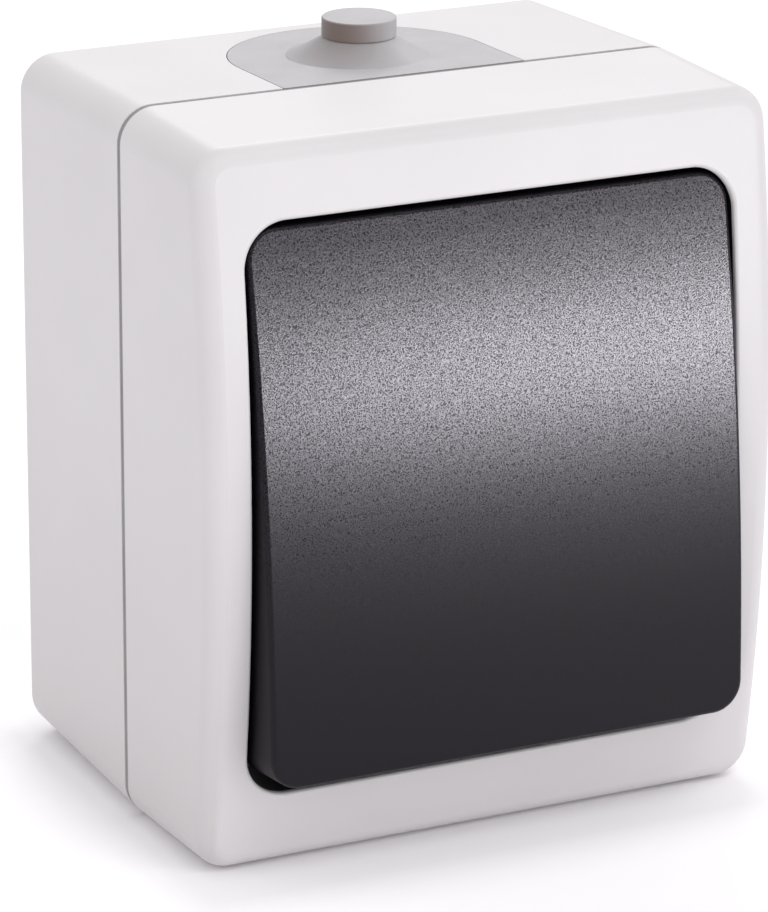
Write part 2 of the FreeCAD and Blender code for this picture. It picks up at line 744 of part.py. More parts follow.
def make_rocker():
    body = new_body("rocker")
    carry_by_pivot(body)
    skirt = "-(rocker_reach - rocker_skirt)"
    shell = new_sketch(body, "rocker_side", SIDE)
    corners = [
        (skirt, "-rocker_length / 2"),
        ("-rocker_reach", "-rocker_length / 2"),
        ("-rocker_reach", "rocker_length / 2", "rocker_radius", -1),
        (skirt, "rocker_length / 2"),
    ]
    outline(shell, corners)
    pad(body, shell, "rocker_width", symmetric=True)
    half_width = value("rocker_width / 2")
    half_length = value("rocker_length / 2")
    corner = lambda edge: runs_along_y(edge, half_width, half_length)
    fillet(body, "rocker_corners", "rocker_corner", corner)
    front = lambda edge: edge.BoundBox.YMax < CLOSE - value("rocker_reach")
    fillet(body, "rocker_front_edge", "rocker_edge", front)

    hollow = new_sketch(body, "rocker_hollow", SIDE)
    inner_half = "rocker_length / 2 - rocker_wall"
    inner_radius = "rocker_radius - rocker_wall"
    crest = "rocker_reach + rocker_crown - rocker_wall"
    sag = "(%s) - sqrt((%s)^2 - (%s)^2)" % (inner_radius, inner_radius, inner_half)
    inner_edge = "-((%s) - (%s))" % (crest, sag)
    mouth = "-(rocker_reach - rocker_skirt - run_out)"
    corners = [
        (mouth, "-(%s)" % inner_half),
        (inner_edge, "-(%s)" % inner_half),
        (inner_edge, inner_half, inner_radius, -1),
        (mouth, inner_half),
    ]
    outline(hollow, corners)
    pocket(body, hollow, "rocker_width - 2 * rocker_wall", symmetric=True)

    # two ribs rest on the cradle and taper off towards the skirt
    under = "-(cradle_reach + snap_gap)"
    root = "-rocker_reach"
    for name, offset in (("left", "-rib_spread - rib_thickness"), ("right", "rib_spread")):
        rib = new_sketch(body, "rocker_rib_" + name, SIDE, offset)
        corners = [
            (root, "-rib_length / 2"),
            (root, "rib_length / 2"),
            ("-(rocker_reach - rocker_wall - run_out)", "rib_length / 2"),
            (under, "cradle_height / 2"),
            (under, "-cradle_height / 2"),
            ("-(rocker_reach - rocker_wall - run_out)", "-rib_length / 2"),
        ]
        outline(rib, corners)
        pad(body, rib, "rib_thickness")

    # snap legs pass through slots in the cradle and hook behind it
    behind = "-(cradle_reach - cradle_plate - snap_gap)"
    foot = "-(cradle_reach - cradle_plate - snap_gap - hook)"
    for name, side in (("upper", ""), ("lower", "-")):
        leg = new_sketch(body, "rocker_leg_" + name, SIDE)
        inner = side + "(leg_rise - leg_thickness / 2)"
        outer = side + "(leg_rise + leg_thickness / 2)"
        barb = side + "(leg_rise + leg_thickness / 2 + hook)"
        corners = [
            (root, inner),
            (root, outer),
            (behind, outer),
            (behind, barb),
            (foot, outer),
            (foot, inner),
        ]
        outline(leg, corners)
        pad(body, leg, "leg_width", symmetric=True)


def make_rocker_cradle():
    body = new_body("rocker_cradle")
    carry_by_pivot(body)
    plate = new_sketch(body, "cradle_plate_outline", FRONT, "cradle_reach - cradle_plate")
    rounded_rectangle(plate, "cradle_width", "cradle_height", "insert_corner")
    pad(body, plate, "cradle_plate")
    hub = new_sketch(body, "cradle_hub", SIDE)
    circle(hub, "hub_radius")
    pad(body, hub, "cradle_width", symmetric=True)
    trunnions = new_sketch(body, "cradle_trunnions", SIDE)
    circle(trunnions, "trunnion_radius")
    pad(body, trunnions, "cradle_width + 2 * trunnion_length", symmetric=True)
    stem = new_sketch(body, "cradle_stem", FRONT)
    circle(stem, "stem_radius")
    pad(body, stem, "stem_length", reverse=True)
    bore = new_sketch(body, "cradle_bore", FRONT, "-stem_length")
    circle(bore, "stem_bore")
    pocket(body, bore, "stem_length + bore_top", reverse=True)
    slots = new_sketch(body, "cradle_leg_slots", FRONT, "cradle_reach")
    half = "leg_width / 2 + snap_gap"
    near = "leg_rise - leg_thickness / 2 - hook"
    far = "leg_rise + leg_thickness / 2 + snap_gap"
    rectangle(slots, "-(%s)" % half, half, near, far)
    rectangle(slots, "-(%s)" % half, half, "-(%s)" % far, "-(%s)" % near)
    pocket(body, slots, "cradle_plate")


def make_contact_plunger():
    body = new_body("contact_plunger")
    carry_by_pivot(body)
    turned = new_sketch(body, "plunger_side", SIDE)
    # the rounded nose bears on the blade, the spigot centres the spring
    spigot = "plunger_head - spigot_length"
    corners = [
        (spigot, "0"),
        ("plunger_reach", "0"),
        ("plunger_reach - plunger_tip", "plunger_radius", "nose_radius", 1),
        ("plunger_head", "plunger_radius"),
        ("plunger_head", "spigot_radius"),
        (spigot, "spigot_radius"),
    ]
    outline(turned, corners)
    revolve(body, turned, "H_Axis")


def make_plunger_spring():
    body = new_body("plunger_spring")
    carry_by_pivot(body)
    wire = new_sketch(body, "spring_wire_section", SIDE)
    # the coil starts just clear of the plunger's shoulder
    circle(wire, "spring_wire / 2", "plunger_head - spring_wire / 2 - snap_gap", "spring_radius")
    coil = body.newObject("PartDesign::AdditiveHelix", "spring_coil")
    coil.Profile = wire
    coil.ReferenceAxis = (wire, ["H_Axis"])
    coil.Mode = "height-turns-growth"
    coil.Reversed = True
    bind(coil, "Height", "plunger_head + bore_top - spring_wire - 2 * snap_gap")
    bind(coil, "Turns", "spring_turns")


# Contacts

def carry_by_knife(body):
    """Moves a body that is drawn about the knife edge to its place, with its lower contact closed."""
    body.Placement = Placement(Vector(), Rotation(Vector(1, 0, 0), 1))
    bind(body, "Placement.Base.y", "-knife_depth")
    bind(body, "Placement.Base.z", "centre_rise")
    bind(body, "Placement.Rotation.Angle", "blade_tilt")


def make_contact_blade():
    body = new_body("contact_blade")
    carry_by_knife(body)
    blade = new_sketch(body, "blade_outline", FRONT, "-knife_entry")
    rounded_rectangle(blade, "blade_width", "blade_length", "tip_radius")
    pad(body, blade, "blade_thickness")
    groove = new_sketch(body, "blade_groove", SIDE, across="knife_entry")
    corners = [("0", "-groove_width / 2"), ("0", "groove_width / 2"), ("-groove_depth", "0")]
    outline(groove, corners)
    pocket(body, groove, symmetric=True)
    holes = new_sketch(body, "blade_rivet_holes", FRONT, "-knife_entry")
    for rise in ("contact_spread", "-contact_spread"):
        circle(holes, "rivet_radius + thread_gap", "0", rise)
    pocket(body, holes, reverse=True)


def make_moving_tips():
    body = new_body("moving_contact_tips")
    body.AllowCompound = True
    carry_by_knife(body)
    for name, rise in (("upper", "contact_spread"), ("lower", "-contact_spread")):
        disc = new_sketch(body, "moving_tip_" + name, FRONT, "-knife_entry - tip_thickness")
        circle(disc, "tip_radius", "0", rise)
        pad(body, disc, "tip_thickness")
        rivet = new_sketch(body, "moving_rivet_" + name, FRONT, "-knife_entry")
        circle(rivet, "rivet_radius", "0", rise)
        pad(body, rivet, "blade_thickness")


def make_fixed_tips():
    body = new_body("fixed_contact_tips")
    body.AllowCompound = True
    carry_by_centre(body)
    for name, rise in (("upper", "contact_spread"), ("lower", "-contact_spread")):
        disc = new_sketch(body, "fixed_tip_" + name, FRONT, "strip_front")
        circle(disc, "tip_radius", "0", rise)
        pad(body, disc, "fixed_tip_front - strip_front")


def make_fixed_contact(label, side):
    """A strip from the contact tip to the foot of its terminal."""
    body = new_body(label)
    carry_by_centre(body)
    strip = new_sketch(body, label + "_strip", FRONT, "strip_floor")
    inner = side + "(contact_spread - strip_width / 2)"
    outer = side + "(contact_spread + strip_width / 2)"
    foot_far = side + "(terminal_rise + terminal_height / 2)"
    neck = "terminal_across - terminal_width / 2"
    end = "terminal_across + terminal_width / 2"
    corners = [
        ("-tip_radius", inner),
        (end, inner),
        (end, foot_far),
        (neck, foot_far),
        (neck, outer),
        ("-tip_radius", outer),
    ]
    outline(strip, corners)
    pad(body, strip, "strip_thickness")


def make_common_bracket():
    body = new_body("common_bracket")
    carry_by_centre(body)
    strip = new_sketch(body, "common_strip", FRONT, "strip_floor")
    outer = "-(terminal_across + terminal_width / 2)"
    inner = "-(terminal_across - terminal_width / 2)"
    top = "terminal_rise + terminal_height / 2"
    corners = [
        (outer, "-strip_width / 2"),
        ("knife_width / 2", "-strip_width / 2"),
        ("knife_width / 2", "strip_width / 2"),
        (inner, "strip_width / 2"),
        (inner, top),
        (outer, top),
    ]
    outline(strip, corners)
    pad(body, strip, "strip_thickness")
    # upstand with the knife edge that the blade rocks on
    knife = new_sketch(body, "common_knife", SIDE)
    shoulder = "-(knife_depth - strip_thickness / 2)"
    corners = [
        ("-strip_front", "-strip_thickness / 2"),
        (shoulder, "-strip_thickness / 2"),
        ("-knife_depth", "0"),
        (shoulder, "strip_thickness / 2"),
        ("-strip_front", "strip_thickness / 2"),
    ]
    outline(knife, corners)
    pad(body, knife, "knife_width", symmetric=True)


def make_terminal(label, across, rise):
    """A brass clamp block with a conductor bore along Z and a screw hole from the front."""
    body = new_body(label)
    carry_by_centre(body)
    block = new_sketch(body, label + "_block", FRONT, "strip_front", across=across, up=rise)
    rounded_rectangle(block, "terminal_width", "terminal_height", "pocket_gap")
    pad(body, block, "terminal_length")
    bore = new_sketch(body, label + "_bore", TOP, "0", across=across)
    circle(bore, "conductor_radius", "0", "-conductor_depth")
    pocket(body, bore, symmetric=True)
    hole = new_sketch(body, label + "_screw_hole", FRONT, "terminal_front", across=across, up=rise)
    circle(hole, "clamp_screw_radius + thread_gap")
    pocket(body, hole, "terminal_front - conductor_depth")


# Switch insert

def make_insert_base():
    body = new_body("insert_base")
    carry_by_centre(body)
    block = new_sketch(body, "base_block", FRONT, "insert_rear")
    rounded_rectangle(block, "insert_width", "insert_height", "insert_corner")
    pad(body, block, "insert_front - insert_rear")
    ears = new_sketch(body, "base_ears", FRONT, "ear_depth")
    rounded_rectangle(ears, "ear_span", "ear_height", "insert_corner")
    pad(body, ears, "ear_thickness")
    ear_holes = new_sketch(body, "base_ear_holes", FRONT, "ear_depth")
    for across, up in DEVICE_SCREWS:
        circle(ear_holes, "screw_radius + pocket_gap / 2", across, up)
    pocket(body, ear_holes, "ear_thickness", reverse=True)

    # contact chamber, terminal pockets and the channels of the strips, all open to the front
    height = "insert_front - strip_floor"
    chamber = new_sketch(body, "base_chamber", FRONT, "insert_front")
    rounded_rectangle(chamber, "chamber_width", "chamber_height", "pocket_gap")
    pocket(body, chamber, height)
    half_width = "terminal_width / 2 + pocket_gap"
    half_height = "terminal_height / 2 + pocket_gap"
    for label, (across, rise) in TERMINALS.items():
        hollow = new_sketch(body, "base_pocket_" + label, FRONT, "insert_front", across=across, up=rise)
        rectangle(hollow, "-(%s)" % half_width, half_width, "-(%s)" % half_height, half_height)
        pocket(body, hollow, height)
    for name, side in (("upper", ""), ("lower", "-")):
        channel = new_sketch(body, "base_channel_" + name, FRONT, "insert_front")
        near = side + "(contact_spread - strip_width / 2 - pocket_gap)"
        far = side + "(contact_spread + strip_width / 2 + pocket_gap)"
        neck = "terminal_across - terminal_width / 2 - pocket_gap"
        end = "terminal_across + terminal_width / 2 + pocket_gap"
        corners = [
            ("chamber_width / 4", near),
            (end, near),
            (end, side + "terminal_rise"),
            (neck, side + "terminal_rise"),
            (neck, far),
            ("chamber_width / 4", far),
        ]
        outline(channel, corners)
        pocket(body, channel, height)
    common = new_sketch(body, "base_channel_common", FRONT, "insert_front")
    outer = "-(terminal_across + terminal_width / 2 + pocket_gap)"
    inner = "-(terminal_across - terminal_width / 2 - pocket_gap)"
    low = "-(strip_width / 2 + pocket_gap)"
    high = "strip_width / 2 + pocket_gap"
    corners = [
        (outer, low),
        ("-chamber_width / 4", low),
        ("-chamber_width / 4", high),
        (inner, high),
        (inner, "terminal_rise"),
        (outer, "terminal_rise"),
    ]
    outline(common, corners)
    pocket(body, common, height)

    # conductor entries in the upper and lower side, and the pilot holes of the insert screws
    for label, (across, rise) in TERMINALS.items():
        upward = not rise.startswith("-")
        start = "insert_height / 2" if upward else "-insert_height / 2"
        entry = new_sketch(body, "base_entry_" + label, TOP, start, across=across)
        circle(entry, "conductor_radius + pocket_gap / 2", "0", "-conductor_depth")
        pocket(body, entry, "insert_height / 2 - terminal_rise", reverse=not upward)
    pilots = new_sketch(body, "base_pilots", FRONT, "insert_front")
    for across, up in INSERT_SCREWS:
        circle(pilots, "small_screw_radius + thread_gap", across, up)
    pocket(body, pilots, "small_screw_length")

    # the rear is cored to one wall thickness, with a rib in the middle
    cores = new_sketch(body, "base_rear_cores", FRONT, "insert_rear")
    far = "insert_width / 2 - insert_wall"
    near = "insert_wall / 2"
    half = "insert_height / 2 - insert_wall"
    rectangle(cores, near, far, "-(%s)" % half, half)
    rectangle(cores, "-(%s)" % far, "-(%s)" % near, "-(%s)" % half, half)
    pocket(body, cores, "strip_floor - insert_rear - insert_wall", reverse=True)


def make_insert_top():
    body = new_body("insert_top")
    carry_by_centre(body)
    plate = new_sketch(body, "top_plate_outline", FRONT, "insert_front")
    rounded_rectangle(plate, "insert_width", "insert_height", "insert_corner")
    pad(body, plate, "top_plate")
    passage = new_sketch(body, "top_stem_passage", FRONT, "insert_front")
    swing = "(pivot_depth - insert_front) * tan(rocker_tilt * 1 deg)"
    rounded_rectangle(
        passage,
        "2 * (stem_radius + pocket_gap)",
        "2 * (stem_radius / cos(rocker_tilt * 1 deg) + (%s) + pocket_gap)" % swing,
        "insert_corner",
    )
    pocket(body, passage, reverse=True)
    holes = new_sketch(body, "top_screw_holes", FRONT, "insert_front")
    for across, rise in TERMINALS.values():
        circle(holes, "clamp_head_radius + pocket_gap", across, rise)
    for across, up in INSERT_SCREWS:
        circle(holes, "small_screw_radius + pocket_gap / 2", across, up)
    pocket(body, holes, reverse=True)
    # the heads of the insert screws lie flush in the plate
    sinks = new_sketch(body, "top_screw_sinks", FRONT, "insert_front + top_plate")
    for across, up in INSERT_SCREWS:
        circle(sinks, "small_head_radius + pocket_gap / 2", across, up)
    pocket(body, sinks, "small_head")
    # bearing ears with round heads about the pivot
    foot = "-(insert_front + top_plate / 2)"
    for name, offset in (
        ("left", "-(cradle_width / 2 + side_gap + bearing_width)"),
        ("right", "cradle_width / 2 + side_gap"),
    ):
        ear = new_sketch(body, "top_ear_" + name, SIDE, offset)
        corners = [
            (foot, "-bearing_rim"),
            (foot, "bearing_rim"),
            ("-pivot_depth", "bearing_rim"),
            ("-pivot_depth - bearing_rim", "0", "bearing_rim", 1),
            ("-pivot_depth", "-bearing_rim", "bearing_rim", 1),
        ]
        outline(ear, corners)
        pad(body, ear, "bearing_width")
    bearing = new_sketch(body, "top_bearings", SIDE, across="-pivot_depth")
    circle(bearing, "trunnion_radius + bearing_gap")
    pocket(body, bearing, symmetric=True)


# Screws and washers

def make_screws(label, places, bearing, length, radius, head_radius, head):
    """A group of like screws, their heads bearing at one depth and their shanks towards the wall."""
    body = new_body(label)
    body.AllowCompound = True
    carry_by_centre(body)
    for number, (across, rise) in enumerate(places, start=1):
        turned = new_sketch(
            body, "%s_turned_%d" % (label, number), SIDE, across, across="-" + bearing, up=rise
        )
        corners = [
            (length, "0"),
            (length, "%s * %s" % (radius, POINT_SHARE)),
            ("%s - %s" % (length, radius), radius),
            ("0", radius),
            ("0", head_radius),
            ("-%s * %s" % (head, HEAD_EDGE_SHARE), head_radius),
            ("-%s" % head, "%s * %s" % (head_radius, HEAD_FACE_SHARE)),
            ("-%s" % head, "0"),
        ]
        outline(turned, corners)
        revolve(body, turned, "H_Axis")
        recess = new_sketch(
            body, "%s_recess_%d" % (label, number), FRONT, "%s + %s" % (bearing, head), across, rise
        )
        narrow = "recess_width / 2"
        wide = "%s * %s" % (head_radius, RECESS_REACH_SHARE)
        corners = [
            ("-(%s)" % wide, "-(%s)" % narrow),
            ("-(%s)" % narrow, "-(%s)" % narrow),
            ("-(%s)" % narrow, "-(%s)" % wide),
            (narrow, "-(%s)" % wide),
            (narrow, "-(%s)" % narrow),
            (wide, "-(%s)" % narrow),
            (wide, narrow),
            (narrow, narrow),
            (narrow, wide),
            ("-(%s)" % narrow, wide),
            ("-(%s)" % narrow, narrow),
            ("-(%s)" % wide, narrow),
        ]
        outline(recess, corners)
        pocket(body, recess, "%s * %s" % (head, RECESS_DEPTH_SHARE))


def make_washers():
    body = new_body("cover_screw_seals")
    body.AllowCompound = True
    carry_by_centre(body)
    for number, (across, rise) in enumerate(COVER_SCREWS, start=1):
        ring = new_sketch(body, "washer_%d" % number, FRONT, "floor_front", across, rise)
        circle(ring, "washer_radius")
        circle(ring, "screw_radius + pocket_gap / 2")
        pad(body, ring, "washer_thickness")


make_rear_box()
make_box_gasket()
make_cable_gland()
make_front_cover()
make_rocker_lining()
make_rocker()
make_rocker_cradle()
make_contact_plunger()
make_plunger_spring()
make_contact_blade()
make_moving_tips()
make_fixed_tips()
make_fixed_contact("upper_fixed_contact", "")
make_fixed_contact("lower_fixed_contact", "-")
make_common_bracket()
for terminal, (across, rise) in TERMINALS.items():
    make_terminal(terminal, across, rise)
make_insert_base()
make_insert_top()
make_screws(
    "cover_screws",
    COVER_SCREWS,
    "cover_screw_seat",
    "cover_screw_seat - seam_depth + screw_bite",
    "screw_radius",
    "screw_head_radius",
    "screw_head",
)
make_screws(
    "device_screws",
    DEVICE_SCREWS,
    "device_screw_seat",
    "ear_thickness + screw_bite",
    "screw_radius",
    "screw_head_radius",
    "screw_head",
)
make_screws(
    "insert_screws",
    INSERT_SCREWS,
    "insert_screw_seat",
    "small_screw_length",
    "small_screw_radius",
    "small_head_radius",
    "small_head",
)
make_screws(
    "terminal_screws",
    list(TERMINALS.values()),
    "terminal_front",
    "terminal_front - conductor_depth - conductor_radius / 2",
    "clamp_screw_radius",
    "clamp_head_radius",
    "clamp_head",
)
make_washers()
document.recompute()

# Every object has to be sound before anything is written
for thing in document.Objects:
    if "Invalid" in thing.State or "Error" in thing.State:
        raise RuntimeError("%s failed: %s" % (thing.Name, thing.State))
for piece in pieces:
    if piece.Shape.isNull() or not piece.Shape.isValid() or not piece.Shape.Solids:
        raise RuntimeError("%s has no sound solid" % piece.Label)

os.makedirs("parts", exist_ok=True)
for piece in pieces:
    piece.Shape.exportStep(os.path.join("parts", piece.Label + ".step"))
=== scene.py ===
import json
import math

import bpy
from mathutils import Matrix, Vector


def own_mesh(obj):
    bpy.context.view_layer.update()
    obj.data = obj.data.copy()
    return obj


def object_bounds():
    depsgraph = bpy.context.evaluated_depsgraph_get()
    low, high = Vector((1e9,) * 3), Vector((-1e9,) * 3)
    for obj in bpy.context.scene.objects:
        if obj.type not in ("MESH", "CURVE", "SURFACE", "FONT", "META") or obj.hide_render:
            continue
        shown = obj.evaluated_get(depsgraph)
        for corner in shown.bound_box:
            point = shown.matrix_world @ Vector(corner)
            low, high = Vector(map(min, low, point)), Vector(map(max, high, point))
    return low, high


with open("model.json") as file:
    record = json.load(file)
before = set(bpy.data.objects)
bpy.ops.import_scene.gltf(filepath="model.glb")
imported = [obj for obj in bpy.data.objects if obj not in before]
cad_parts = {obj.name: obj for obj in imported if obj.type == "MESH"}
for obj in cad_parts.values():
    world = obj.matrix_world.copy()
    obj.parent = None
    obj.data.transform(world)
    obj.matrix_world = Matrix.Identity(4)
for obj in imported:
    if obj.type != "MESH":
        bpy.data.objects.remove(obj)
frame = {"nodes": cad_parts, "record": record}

# Weatherproof surface-mounted rocker switch: finishes, spring, stage, light and camera
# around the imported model. Metres, in the frame of the model: X to the right, Y into the
# wall, Z up. Colours are linear.

CAD_LOW, CAD_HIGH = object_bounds()
MILLIMETRE = 0.001


# Materials

# A Mix node for colours has several sockets of each name, one per type of data
MIX_FACTOR, MIX_FIRST, MIX_SECOND = 0, 6, 7
MIX_RESULT = 2

# A noise texture stays mostly between these two values
NOISE_LOW, NOISE_MIDDLE, NOISE_HIGH = 0.3, 0.5, 0.7


class Finish:
    """A node material under construction: one Principled shader and the textures that drive it."""

    def __init__(self, name):
        self.material = bpy.data.materials.new(name)
        self.material.use_nodes = True
        self.nodes = self.material.node_tree.nodes
        self.links = self.material.node_tree.links
        self.shader = self.nodes["Principled BSDF"]
        coordinates = self.nodes.new("ShaderNodeTexCoord")
        self.place = coordinates.outputs["Object"]
        self.facing = coordinates.outputs["Normal"]

    def set(self, **values):
        for socket, value in values.items():
            self.shader.inputs[socket.replace("_", " ")].default_value = value

    def link(self, output, socket):
        self.links.new(output, self.shader.inputs[socket])

    def drive(self, socket, source, low, high):
        """Lets a number of the shader follow a texture, from low to high."""
        self.link(self.spread(source, low, high), socket)

    def noise(self, grain, detail=2.0, stretch=None):
        """A noise whose features measure about one grain across, 0 to 1."""
        texture = self.nodes.new("ShaderNodeTexNoise")
        texture.inputs["Scale"].default_value = 1 / grain
        texture.inputs["Detail"].default_value = detail
        source = self.place
        if stretch:
            mapping = self.nodes.new("ShaderNodeMapping")
            mapping.inputs["Scale"].default_value = stretch
            self.links.new(source, mapping.inputs["Vector"])
            source = mapping.outputs["Vector"]
        self.links.new(source, texture.inputs["Vector"])
        return texture.outputs["Fac"]

    def spread(self, source, low, high, from_low=NOISE_LOW, from_high=NOISE_HIGH):
        """Maps a source, by default a noise's usual range, onto low to high."""
        node = self.nodes.new("ShaderNodeMapRange")
        node.inputs["From Min"].default_value = from_low
        node.inputs["From Max"].default_value = from_high
        node.inputs["To Min"].default_value = low
        node.inputs["To Max"].default_value = high
        self.links.new(source, node.inputs["Value"])
        return node.outputs["Result"]

    def along(self, axis, low, high, of_normal=False):
        """0 to 1 from low to high along an axis, of the place on the piece or of its surface's direction."""
        split = self.nodes.new("ShaderNodeSeparateXYZ")
        self.links.new(self.facing if of_normal else self.place, split.inputs["Vector"])
        return self.spread(split.outputs[axis], 0, 1, low, high)

    def vector_math(self, operation, source, value=None):
        node = self.nodes.new("ShaderNodeVectorMath")
        node.operation = operation
        self.links.new(source, node.inputs[0])
        if value is not None:
            node.inputs[1].default_value = value
        return node.outputs

    def towards(self, direction, low, high):
        """0 to 1 as the surface turns from low to high, its direction's share along the one given."""
        share = self.vector_math("DOT_PRODUCT", self.facing, direction)["Value"]
        return self.spread(share, 0, 1, low, high)

    def outside(self, low_corner, high_corner):
        """Distance of the place on the piece beyond a box, 0 inside it."""
        middle = (low_corner + high_corner) / 2
        half = (high_corner - low_corner) / 2
        offset = self.vector_math("SUBTRACT", self.place, middle)["Vector"]
        offset = self.vector_math("ABSOLUTE", offset)["Vector"]
        beyond = self.vector_math("SUBTRACT", offset, half)["Vector"]
        beyond = self.vector_math("MAXIMUM", beyond, (0, 0, 0))["Vector"]
        return self.vector_math("LENGTH", beyond)["Value"]

    def steps(self, source, stops):
        """Maps a source in metres onto the values given for some of its places."""
        ramp = self.nodes.new("ShaderNodeValToRGB")
        reach = stops[-1][0]
        elements = ramp.color_ramp.elements
        while len(elements) < len(stops):
            elements.new(1.0)
        for element, (place, value) in zip(elements, stops):
            element.position = place / reach
            element.color = (value, value, value, 1)
        self.links.new(self.spread(source, 0, 1, 0, reach), ramp.inputs["Fac"])
        return ramp.outputs["Color"]

    def mix(self, factor, first, second):
        """A number between two, each a plain number or a texture."""
        node = self.nodes.new("ShaderNodeMix")
        for socket, value in ((node.inputs["A"], first), (node.inputs["B"], second)):
            if isinstance(value, (int, float)):
                socket.default_value = value
            else:
                self.links.new(value, socket)
        self.links.new(factor, node.inputs["Factor"])
        return node.outputs["Result"]

    def blend(self, factor, first, second):
        """A colour between two, each given or from a texture."""
        node = self.nodes.new("ShaderNodeMix")
        node.data_type = "RGBA"
        for socket, colour in ((node.inputs[MIX_FIRST], first), (node.inputs[MIX_SECOND], second)):
            if isinstance(colour, tuple):
                socket.default_value = (*colour, 1)
            else:
                self.links.new(colour, socket)
        self.links.new(factor, node.inputs[MIX_FACTOR])
        return node.outputs[MIX_RESULT]

    def clouded(self, source, tones):
        """A colour that follows a texture from the darker to the lighter of two tones."""
        return self.blend(self.spread(source, 0, 1), *tones)

    def bump(self, *layers):
        """Relief from layers of (height source, height in metres), laid over each other."""
        under = None
        for source, height in layers:
            node = self.nodes.new("ShaderNodeBump")
            node.inputs["Strength"].default_value = 1.0
            node.inputs["Distance"].default_value = height
            self.links.new(source, node.inputs["Height"])
            if under is not None:
                self.links.new(under, node.inputs["Normal"])
            under = node.outputs["Normal"]
        self.link(under, "Normal")


# Darker and lighter tone of each finish
WHITE = (0.650, 0.629, 0.643), (0.675, 0.654, 0.668)
ROCKER_BLACK = (0.0035, 0.0024, 0.0042), (0.0070, 0.0048, 0.0085)
LINING_BLACK = (0.0035, 0.0032, 0.0030), (0.0080, 0.0075, 0.0070)
GASKET_GREY = (0.23, 0.22, 0.22), (0.28, 0.27, 0.27)
GLAND_GREY = (0.435, 0.420, 0.435), (0.475, 0.460, 0.475)
INSERT_CREAM = (0.60, 0.58, 0.54), (0.68, 0.66, 0.62)
BRASS = (0.62, 0.44, 0.18), (0.78, 0.60, 0.30)
SILVER = (0.74, 0.73, 0.71), (0.86, 0.85, 0.83)
ZINC = (0.48, 0.48, 0.50), (0.62, 0.62, 0.63)
PAPER = (0.914, 0.896, 0.914), (0.926, 0.908, 0.926)

# The side that faces this way is turned from the light and gets painted shade. A film of it starts and is
# full at the given cosines between this direction and the one that the surface faces
SHADED_SIDE = (-0.85, -0.53, 0)
# Painted shade low down on the side turned from the light: its colour, the cosines where it starts and is
# full, and the height below which it darkens
PAINTED_LOW_SHADE = (0.580, 0.557, 0.565)
LOW_SHADE_STARTS, LOW_SHADE_FULL = 0.55, 0.8
LOW_SHADE_TOP = 5 * MILLIMETRE
# Painted shade on the gland's cone, on its side turned from the light
PAINTED_CONE_SHADE = (0.0, 0.35, (0.350, 0.335, 0.345))
# The pip's brown tone together with painted shade, shown only on its side turned from the light
BROWN_AND_SHADED_PIP = (0.3, 1.0, (0.193, 0.146, 0.132))

# The rocker is polished below the first height and has its full grain above the second
POLISHED, GRAINED = -12 * MILLIMETRE, 9 * MILLIMETRE
POLISHED_GRAIN = 0.1
# Y of its surface's direction on the front, and where the matt sides begin
ROCKER_FRONT, ROCKER_SIDE = -0.85, -0.55
SIDE_ROUGHNESS = 0.55

# Scale of the drawing marks' texture, which is drawn out along one axis
ALONG_Z = (1, 1, 0.06)
ALONG_Y = (1, 0.06, 1)


def housing_white():
    """Satin white with painted shade, darker low down on the side turned from the light."""
    finish = Finish("housing_white")
    cloud = finish.noise(18 * MILLIMETRE, detail=3)
    satin = finish.noise(0.22 * MILLIMETRE)
    low_down = finish.along("Z", LOW_SHADE_TOP, CAD_LOW.z)
    # Painted shade: darker towards the bottom on the side turned from the light
    painted_shade = finish.mix(finish.towards(SHADED_SIDE, LOW_SHADE_STARTS, LOW_SHADE_FULL), 0, low_down)
    finish.link(finish.blend(painted_shade, finish.clouded(cloud, WHITE), PAINTED_LOW_SHADE), "Base Color")
    finish.drive("Roughness", satin, 0.36, 0.46)
    finish.set(IOR=1.5, Specular_IOR_Level=0.22)
    finish.bump((cloud, 0.02 * MILLIMETRE), (satin, 0.0012 * MILLIMETRE))
    return finish.material


def rocker_dark():
    """Grained front whose pits swallow the light, polished by fingers on its lower half, and matt sides."""
    finish = Finish("rocker_dark")
    spark = finish.noise(0.15 * MILLIMETRE, detail=1)
    unworn = finish.spread(finish.along("Z", POLISHED, GRAINED), POLISHED_GRAIN, 1, 0, 1)
    grain = finish.mix(unworn, NOISE_MIDDLE, spark)
    finish.link(finish.clouded(grain, ROCKER_BLACK), "Base Color")
    front_roughness = finish.spread(grain, 0.22, 0.23)
    side = finish.along("Y", ROCKER_FRONT, ROCKER_SIDE, of_normal=True)
    finish.link(finish.mix(side, front_roughness, SIDE_ROUGHNESS), "Roughness")
    finish.drive("Specular IOR Level", grain, 0.09, 0.45)
    finish.set(IOR=1.45, Specular_Tint=(0.965, 0.925, 1.0, 1.0))
    finish.bump((grain, 0.005 * MILLIMETRE))
    return finish.material


def lining_black():
    finish = Finish("lining_black")
    grain = finish.noise(0.3 * MILLIMETRE)
    finish.link(finish.clouded(grain, LINING_BLACK), "Base Color")
    finish.drive("Roughness", grain, 0.5, 0.62)
    finish.bump((grain, 0.004 * MILLIMETRE))
    return finish.material


def rubber(name, tones, *shade_films):
    """Matt rubber with a faint bloom, and films of (start, full, colour) on the side turned from the light,
    which paint shade there.
    """
    finish = Finish(name)
    bloom = finish.noise(4 * MILLIMETRE, detail=4)
    grain = finish.noise(0.2 * MILLIMETRE)
    colour = finish.clouded(bloom, tones)
    # Each film paints shade on the side turned from the light
    for start, full, shade_film in shade_films:
        colour = finish.blend(finish.towards(SHADED_SIDE, start, full), colour, shade_film)
    finish.link(colour, "Base Color")
    finish.drive("Roughness", grain, 0.55, 0.68)
    finish.bump((bloom, 0.01 * MILLIMETRE), (grain, 0.003 * MILLIMETRE))
    return finish.material


